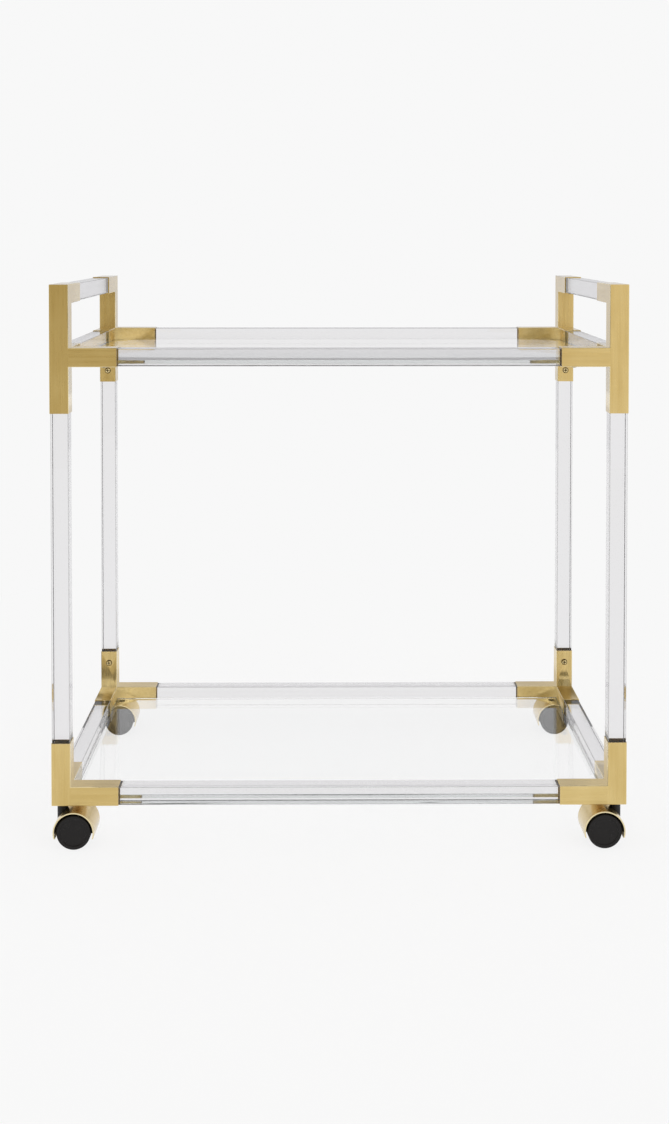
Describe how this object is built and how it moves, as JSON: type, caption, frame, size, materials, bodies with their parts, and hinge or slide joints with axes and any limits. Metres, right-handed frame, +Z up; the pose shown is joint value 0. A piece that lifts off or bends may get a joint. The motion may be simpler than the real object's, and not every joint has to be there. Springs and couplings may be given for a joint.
{
  "type": "bar cart",
  "caption": "Rolling bar cart: clear square rods in brass corner sleeves, glass shelves, raised end handles and hooded swivel casters.",
  "frame": {"origin": "on the floor, under the middle of the cart", "axes": "+X to the right end of the cart, +Y from front to back, +Z up"},
  "size_m": [0.762, 0.4546, 0.7445],
  "materials": {
    "brass": "brushed satin brass plating, lightly lacquered",
    "brass_screw": "satin brass plated screws",
    "acrylic": "polished clear acrylic",
    "glass": "clear tempered glass with ground edges",
    "clear_rubber": "clear soft bumper",
    "black_nylon": "moulded black nylon",
    "wheel": "semi-gloss moulded dark wheel",
    "steel": "zinc plated steel"
  },
  "bodies": {
    "frame": {"front_left_bottom_bracket": "brass", "front_left_top_bracket": "brass", "front_left_post": "acrylic", "front_left_caster_socket": "black_nylon", "front_left_caster_stem": "steel", "front_right_bottom_bracket": "brass", "front_right_top_bracket": "brass", "front_right_post": "acrylic", "front_right_caster_socket": "black_nylon", "front_right_caster_stem": "steel", "back_left_bottom_bracket": "brass", "back_left_top_bracket": "brass", "back_left_post": "acrylic", "back_left_caster_socket": "black_nylon", "back_left_caster_stem": "steel", "back_right_bottom_bracket": "brass", "back_right_top_bracket": "brass", "back_right_post": "acrylic", "back_right_caster_socket": "black_nylon", "back_right_caster_stem": "steel", "front_bottom_rail": "acrylic", "front_top_rail": "acrylic", "back_bottom_rail": "acrylic", "back_top_rail": "acrylic", "left_bottom_side_rail": "acrylic", "left_top_side_rail": "acrylic", "left_handle_bar": "acrylic", "right_bottom_side_rail": "acrylic", "right_top_side_rail": "acrylic", "right_handle_bar": "acrylic", "bottom_glass_shelf": "glass", "top_glass_shelf": "glass", "bottom_shelf_bumpers": "clear_rubber", "top_shelf_bumpers": "clear_rubber", "post_screws": "brass_screw", "rail_screws": "brass_screw", "handle_screws": "brass_screw"},
    "front_left_caster": {"front_left_caster_yoke": "black_nylon", "front_left_caster_hood": "brass", "front_left_caster_axle": "steel"},
    "front_left_outer_wheel_body": {"front_left_outer_wheel": "wheel"},
    "front_left_inner_wheel_body": {"front_left_inner_wheel": "wheel"},
    "front_right_caster": {"front_right_caster_yoke": "black_nylon", "front_right_caster_hood": "brass", "front_right_caster_axle": "steel"},
    "front_right_outer_wheel_body": {"front_right_outer_wheel": "wheel"},
    "front_right_inner_wheel_body": {"front_right_inner_wheel": "wheel"},
    "back_left_caster": {"back_left_caster_yoke": "black_nylon", "back_left_caster_hood": "brass", "back_left_caster_axle": "steel"},
    "back_left_outer_wheel_body": {"back_left_outer_wheel": "wheel"},
    "back_left_inner_wheel_body": {"back_left_inner_wheel": "wheel"},
    "back_right_caster": {"back_right_caster_yoke": "black_nylon", "back_right_caster_hood": "brass", "back_right_caster_axle": "steel"},
    "back_right_outer_wheel_body": {"back_right_outer_wheel": "wheel"},
    "back_right_inner_wheel_body": {"back_right_inner_wheel": "wheel"}
  },
  "joints": [
    {"name": "front_left_swivel", "type": "hinge", "parent": "frame", "child": "front_left_caster", "pos_m": [-0.3683, -0.2033, 0.054], "axis": [0, 0, 1], "continuous": true},
    {"name": "front_left_outer_roll", "type": "hinge", "parent": "front_left_caster", "child": "front_left_outer_wheel_body", "pos_m": [-0.3503, -0.2033, 0.0225], "axis": [0, 1, 0], "continuous": true},
    {"name": "front_left_inner_roll", "type": "hinge", "parent": "front_left_caster", "child": "front_left_inner_wheel_body", "pos_m": [-0.3503, -0.2033, 0.0225], "axis": [0, 1, 0], "continuous": true},
    {"name": "front_right_swivel", "type": "hinge", "parent": "frame", "child": "front_right_caster", "pos_m": [0.3683, -0.2033, 0.054], "axis": [0, 0, 1], "continuous": true},
    {"name": "front_right_outer_roll", "type": "hinge", "parent": "front_right_caster", "child": "front_right_outer_wheel_body", "pos_m": [0.3503, -0.2033, 0.0225], "axis": [0, 1, 0], "continuous": true},
    {"name": "front_right_inner_roll", "type": "hinge", "parent": "front_right_caster", "child": "front_right_inner_wheel_body", "pos_m": [0.3503, -0.2033, 0.0225], "axis": [0, 1, 0], "continuous": true},
    {"name": "back_left_swivel", "type": "hinge", "parent": "frame", "child": "back_left_caster", "pos_m": [-0.3683, 0.2033, 0.054], "axis": [0, 0, 1], "continuous": true},
    {"name": "back_left_outer_roll", "type": "hinge", "parent": "back_left_caster", "child": "back_left_outer_wheel_body", "pos_m": [-0.3503, 0.2033, 0.0225], "axis": [0, 1, 0], "continuous": true},
    {"name": "back_left_inner_roll", "type": "hinge", "parent": "back_left_caster", "child": "back_left_inner_wheel_body", "pos_m": [-0.3503, 0.2033, 0.0225], "axis": [0, 1, 0], "continuous": true},
    {"name": "back_right_swivel", "type": "hinge", "parent": "frame", "child": "back_right_caster", "pos_m": [0.3683, 0.2033, 0.054], "axis": [0, 0, 1], "continuous": true},
    {"name": "back_right_outer_roll", "type": "hinge", "parent": "back_right_caster", "child": "back_right_outer_wheel_body", "pos_m": [0.3503, 0.2033, 0.0225], "axis": [0, 1, 0], "continuous": true},
    {"name": "back_right_inner_roll", "type": "hinge", "parent": "back_right_caster", "child": "back_right_inner_wheel_body", "pos_m": [0.3503, 0.2033, 0.0225], "axis": [0, 1, 0], "continuous": true}
  ]
}
